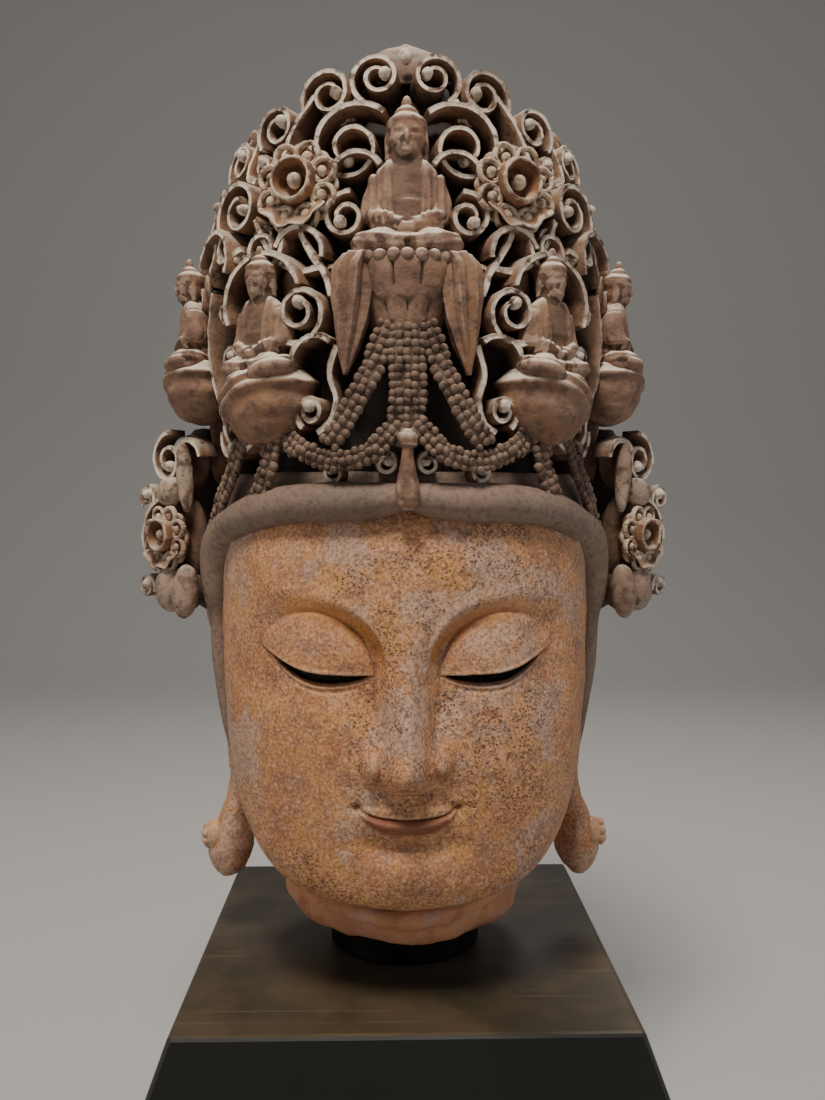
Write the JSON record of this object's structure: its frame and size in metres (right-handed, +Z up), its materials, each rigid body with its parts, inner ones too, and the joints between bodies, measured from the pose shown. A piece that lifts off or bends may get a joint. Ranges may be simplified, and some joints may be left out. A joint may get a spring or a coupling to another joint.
{
  "type": "bodhisattva head",
  "caption": "Carved sandstone head of a bodhisattva with downcast eyes, long earlobes and a tall openwork scroll crown, on a round collar and tapered dark plinth.",
  "frame": {"origin": "centre of the plinth's underside, on the floor", "axes": "+Z up, the face looks along -Y, +X is the viewer's right"},
  "size_m": [0.6154, 0.6154, 1.2401],
  "materials": {
    "carved_stone": "sandstone with worn gilding and pigment on the face, grey-brown and dusty on the crown",
    "black_steel": "matt black",
    "dark_plinth": "satin olive-black with light scratches"
  },
  "bodies": {
    "root": {"head": "carved_stone", "mount_collar": "black_steel", "plinth": "dark_plinth"}
  },
  "joints": []
}
